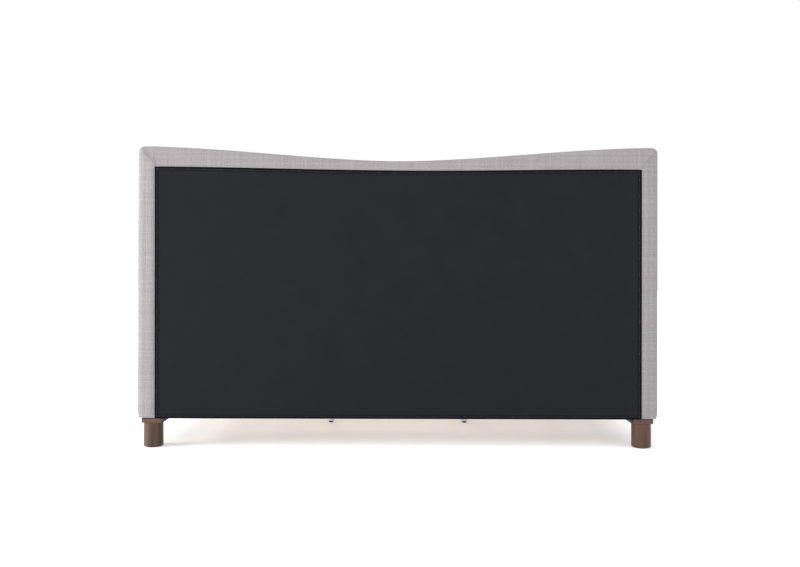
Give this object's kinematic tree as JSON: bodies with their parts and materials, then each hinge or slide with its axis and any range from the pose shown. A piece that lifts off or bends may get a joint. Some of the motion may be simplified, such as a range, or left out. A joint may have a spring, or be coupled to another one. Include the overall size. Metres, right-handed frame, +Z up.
{
  "type": "daybed",
  "caption": "Upholstered daybed with a high back whose top edge dips in the middle, sloping arms, a slatted deck, turned wooden legs and adjustable centre feet.",
  "frame": {"origin": "on the floor, at the middle of the footprint", "axes": "+Z up, -Y the way the sitter faces, X along the back, and the daybed is symmetric about X = 0"},
  "size_m": [2.04, 1.1, 1.18],
  "materials": {
    "woven_cover": "matte",
    "dust_cloth": "matte",
    "foam": "matte",
    "plywood": "matte",
    "frame_timber": "matte",
    "slat_timber": "satin",
    "webbing": "matte",
    "walnut": "satin",
    "black_block": "matte",
    "zinc_steel": "satin",
    "black_plastic": "matte",
    "rubber": "matte"
  },
  "bodies": {
    "frame": {"back_board": "plywood", "back_bottom_rail": "frame_timber", "back_cover": "woven_cover", "back_dust_cover": "dust_cloth", "back_foam": "foam", "back_ledger": "frame_timber", "back_left_post": "frame_timber", "back_left_stile": "frame_timber", "back_right_post": "frame_timber", "back_right_stile": "frame_timber", "back_seat_rail": "frame_timber", "back_top_rail": "frame_timber", "beam_hangers": "zinc_steel", "centre_beam": "frame_timber", "frame_bolts": "zinc_steel", "front_corner_blocks": "frame_timber", "front_ledger": "frame_timber", "front_left_leg": "walnut", "front_left_leg_plate": "walnut", "front_rail": "frame_timber", "front_rail_cover": "woven_cover", "front_rail_foam": "foam", "front_right_leg": "walnut", "front_right_leg_plate": "walnut", "left_arm_base_rail": "frame_timber", "left_arm_cover": "woven_cover", "left_arm_foam": "foam", "left_arm_panel": "plywood", "left_support_leg": "zinc_steel", "leg_bolts": "zinc_steel", "leg_glides": "rubber", "rear_corner_brackets": "zinc_steel", "rear_glue_blocks": "black_block", "rear_left_leg": "walnut", "rear_left_leg_plate": "walnut", "rear_right_leg": "walnut", "rear_right_leg_plate": "walnut", "right_arm_base_rail": "frame_timber", "right_arm_cover": "woven_cover", "right_arm_foam": "foam", "right_arm_panel": "plywood", "right_support_leg": "zinc_steel", "slat_01": "slat_timber", "slat_02": "slat_timber", "slat_03": "slat_timber", "slat_04": "slat_timber", "slat_05": "slat_timber", "slat_06": "slat_timber", "slat_07": "slat_timber", "slat_08": "slat_timber", "slat_09": "slat_timber", "slat_10": "slat_timber", "slat_11": "slat_timber", "slat_12": "slat_timber", "slat_straps": "webbing", "support_leg_inserts": "black_plastic"},
    "left_foot": {"left_levelling_foot": "zinc_steel", "left_foot_pad": "rubber"},
    "right_foot": {"right_levelling_foot": "zinc_steel", "right_foot_pad": "rubber"}
  },
  "joints": [
    {"name": "left_foot_height", "type": "slide", "parent": "frame", "child": "left_foot", "axis": [0, 0, 1], "range_m": [-0.01, 0.008]},
    {"name": "right_foot_height", "type": "slide", "parent": "frame", "child": "right_foot", "axis": [0, 0, 1], "range_m": [-0.01, 0.008]}
  ]
}
